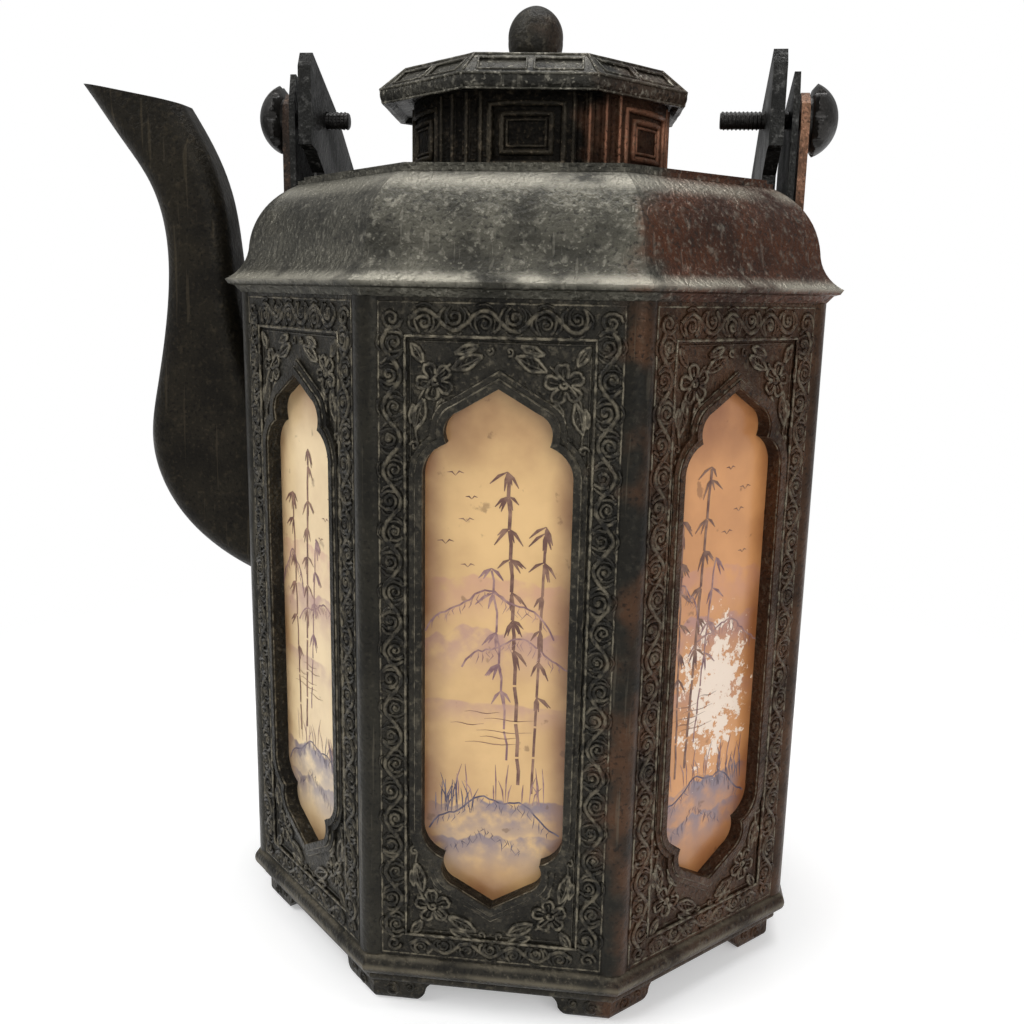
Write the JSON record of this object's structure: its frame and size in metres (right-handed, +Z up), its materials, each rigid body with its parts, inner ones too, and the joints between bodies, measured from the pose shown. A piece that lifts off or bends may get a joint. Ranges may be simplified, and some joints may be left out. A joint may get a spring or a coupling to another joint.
{
  "type": "octagonal wine warming pot",
  "caption": "Octagonal wine warming pot: windowed sides, domed shoulder, round neck, lift-off knobbed lid, curved spout, two handle ears with screws.",
  "frame": {"origin": "on the pot's upright axis, at the level of the feet", "axes": "+Z up along the pot's axis, spout towards -X, front side facing -Y"},
  "size_m": [0.2049, 0.1538, 0.246],
  "materials": {
    "dark_pewter": "dark aged pewter, cast relief with worn edges",
    "worn_pewter": "aged pewter worn grey and satin on the shoulder",
    "painted_glass": "glass painted on its back in tan, brown and mauve",
    "plain_pewter": "plain dull pewter sheet",
    "copper_strap": "dark metal with a copper-brown wear",
    "screw_steel": "blackened steel",
    "ear_pewter": "near-black scratched pewter"
  },
  "bodies": {
    "pot": {"panel_front": "dark_pewter", "panel_front_right": "dark_pewter", "panel_right": "dark_pewter", "panel_back_right": "dark_pewter", "panel_back": "dark_pewter", "panel_back_left": "dark_pewter", "panel_left": "dark_pewter", "panel_front_left": "dark_pewter", "pane_front": "painted_glass", "pane_strips_front": "plain_pewter", "pane_front_right": "painted_glass", "pane_strips_front_right": "plain_pewter", "pane_right": "painted_glass", "pane_strips_right": "plain_pewter", "pane_back_right": "painted_glass", "pane_strips_back_right": "plain_pewter", "pane_back": "painted_glass", "pane_strips_back": "plain_pewter", "pane_back_left": "painted_glass", "pane_strips_back_left": "plain_pewter", "pane_front_left": "painted_glass", "pane_strips_front_left": "plain_pewter", "corner_post_1": "dark_pewter", "foot_1": "dark_pewter", "corner_post_2": "dark_pewter", "foot_2": "dark_pewter", "corner_post_3": "dark_pewter", "foot_3": "dark_pewter", "corner_post_4": "dark_pewter", "foot_4": "dark_pewter", "corner_post_5": "dark_pewter", "foot_5": "dark_pewter", "corner_post_6": "dark_pewter", "foot_6": "dark_pewter", "corner_post_7": "dark_pewter", "foot_7": "dark_pewter", "corner_post_8": "dark_pewter", "foot_8": "dark_pewter", "base": "dark_pewter", "shoulder": "worn_pewter", "top_plate": "worn_pewter", "neck": "dark_pewter", "liner_floor": "plain_pewter", "liner_wall": "plain_pewter", "liner_roof": "plain_pewter", "spout": "worn_pewter", "ear_strap_left": "copper_strap", "ear_strap_right": "copper_strap", "ear_leaf_left": "ear_pewter", "ear_leaf_right": "ear_pewter", "ear_cheek_left": "ear_pewter", "ear_cheek_right": "ear_pewter"},
    "insert": {"water_insert": "plain_pewter"},
    "lid": {"lid": "worn_pewter", "lid_knob": "dark_pewter"},
    "washer_left": {"screw_washer_left": "screw_steel"},
    "washer_right": {"screw_washer_right": "screw_steel"},
    "screw_left": {"ear_screw_left": "screw_steel"},
    "screw_right": {"ear_screw_right": "screw_steel"}
  },
  "joints": [
    {"name": "insert_lift", "type": "slide", "parent": "pot", "child": "insert", "axis": [0, 0, 1], "range_m": [0, 0.16]},
    {"name": "lid_lift", "type": "slide", "parent": "insert", "child": "lid", "axis": [0, 0, 1], "range_m": [0, 0.04]},
    {"name": "draw_left", "type": "slide", "parent": "pot", "child": "washer_left", "axis": [-1, 0, 0], "range_m": [0, 0.00952]},
    {"name": "turn_left", "type": "hinge", "parent": "washer_left", "child": "screw_left", "pos_m": [-0.07, 0, 0.2175], "axis": [-1, 0, 0], "range_deg": [0, 3240]},
    {"name": "draw_right", "type": "slide", "parent": "pot", "child": "washer_right", "axis": [1, 0, 0], "range_m": [0, 0.01481]},
    {"name": "turn_right", "type": "hinge", "parent": "washer_right", "child": "screw_right", "pos_m": [0.07, 0, 0.2175], "axis": [1, 0, 0], "range_deg": [0, 5040]}
  ],
  "couplings": [
    {"joint": "draw_left", "follows": "turn_left", "m_per_rad": 0.00016839},
    {"joint": "draw_right", "follows": "turn_right", "m_per_rad": 0.00016839}
  ]
}
